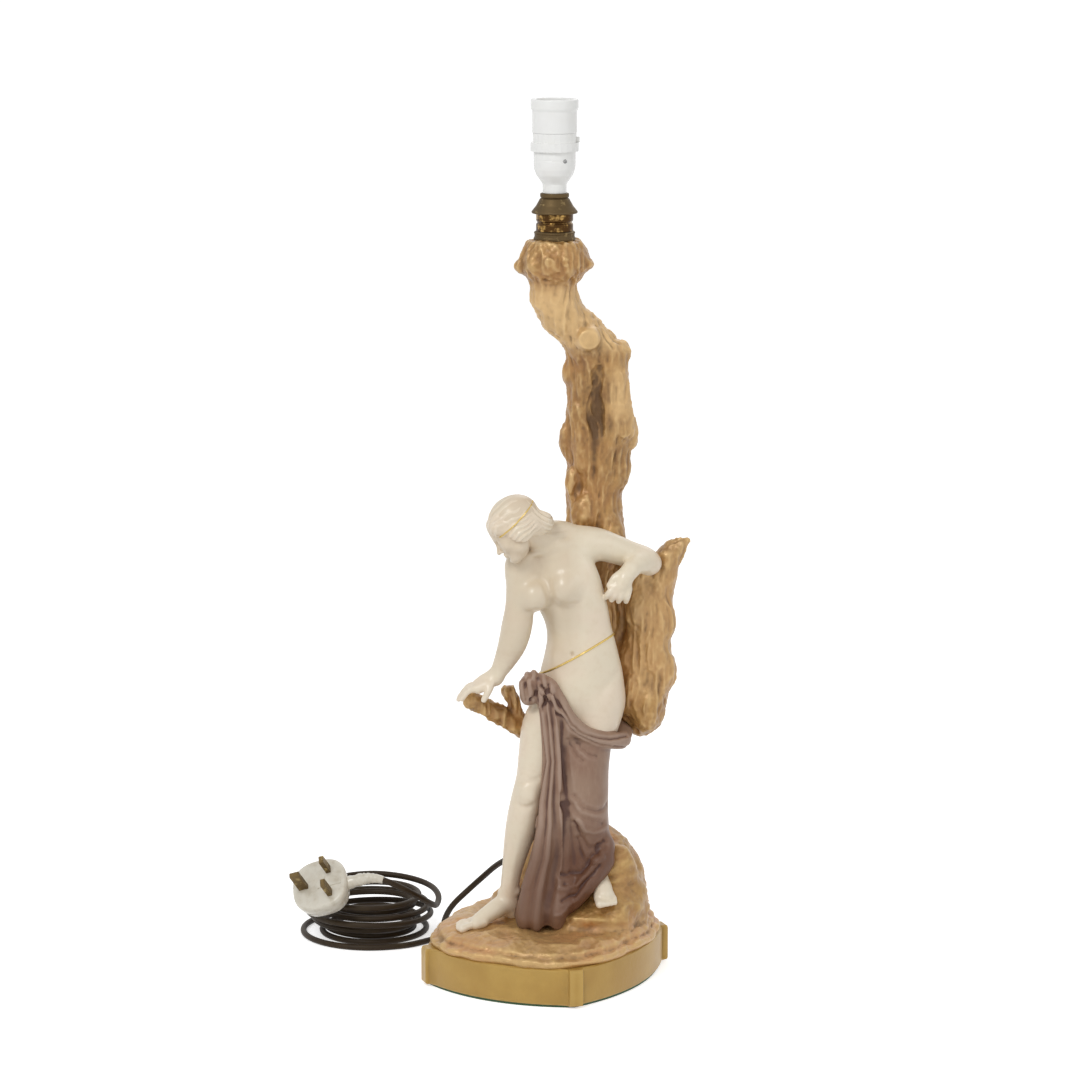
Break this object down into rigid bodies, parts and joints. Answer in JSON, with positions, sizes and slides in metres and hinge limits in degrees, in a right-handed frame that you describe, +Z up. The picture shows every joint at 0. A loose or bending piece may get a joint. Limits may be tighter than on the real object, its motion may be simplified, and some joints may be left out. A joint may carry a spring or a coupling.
{
  "type": "ceramic figure table lamp base",
  "caption": "Ceramic table lamp base: a draped figure leans on a tree trunk that carries a brass gallery and a switched bayonet lampholder; with a coiled cord and plug.",
  "frame": {"origin": "on the surface that the lamp stands on, under the middle of the plinth", "axes": "+Z up along the lamp; the figure faces -Y and +X is to the right as seen from its front"},
  "size_m": [0.3178, 0.2756, 0.6969],
  "materials": {
    "ochre_glaze": "satin gilt glaze",
    "bark_glaze": "satin gilt glaze, bronzed in the hollows",
    "ivory_porcelain": "blush ivory glaze",
    "mauve_glaze": "soft lustre",
    "green_baize": "baize",
    "aged_brass": "aged, with a bright band",
    "white_plastic": "gloss",
    "plated_steel": "plated",
    "contact_brass": "plain",
    "cord_plastic": "semi-gloss",
    "plug_plastic": "gloss"
  },
  "bodies": {
    "lamp": {"plinth": "ochre_glaze", "base_pad": "green_baize", "ledge": "ochre_glaze", "boulder": "ochre_glaze", "trunk": "bark_glaze", "crook": "bark_glaze", "burl": "bark_glaze", "knot": "bark_glaze", "stump": "bark_glaze", "branch": "bark_glaze", "twig": "bark_glaze", "torso": "ivory_porcelain", "neck": "ivory_porcelain", "head": "ivory_porcelain", "hair": "ivory_porcelain", "hair_bun": "ivory_porcelain", "arm_right": "ivory_porcelain", "hand_right": "ivory_porcelain", "arm_left": "ivory_porcelain", "forearm_left": "ivory_porcelain", "hand_left": "ivory_porcelain", "leg_right": "ivory_porcelain", "foot_right": "ivory_porcelain", "foot_left": "ivory_porcelain", "drape_roll": "mauve_glaze", "drape": "mauve_glaze", "threaded_tube": "aged_brass", "gallery": "aged_brass", "gallery_cone": "aged_brass", "holder_cup": "white_plastic", "cup_screw": "plated_steel", "switch_body": "white_plastic", "holder_skirt": "white_plastic", "holder_barrel": "white_plastic", "contact_block": "white_plastic", "spring_left": "plated_steel", "spring_right": "plated_steel", "cord_bush": "cord_plastic", "cord_lead": "cord_plastic", "cord_coil": "cord_plastic", "plug_body": "plug_plastic", "plug_relief": "plug_plastic", "plug_earth_pin": "contact_brass", "plug_line_pin": "contact_brass", "plug_neutral_pin": "contact_brass", "plug_fuse_carrier": "plug_plastic"},
    "push_bar": {"switch_bar": "white_plastic"},
    "left_plunger": {"plunger_left": "contact_brass"},
    "right_plunger": {"plunger_right": "contact_brass"}
  },
  "joints": [
    {"name": "switch_push", "type": "slide", "parent": "lamp", "child": "push_bar", "axis": [-1, 0, 0], "range_m": [0, 0.0025]},
    {"name": "plunger_left_press", "type": "slide", "parent": "lamp", "child": "left_plunger", "axis": [0, 0, -1], "range_m": [0, 0.004], "stiffness_N_per_m": 600, "springref_m": -0.002, "deforming": ["spring_left"]},
    {"name": "plunger_right_press", "type": "slide", "parent": "lamp", "child": "right_plunger", "axis": [0, 0, -1], "range_m": [0, 0.004], "stiffness_N_per_m": 600, "springref_m": -0.002, "deforming": ["spring_right"]}
  ]
}
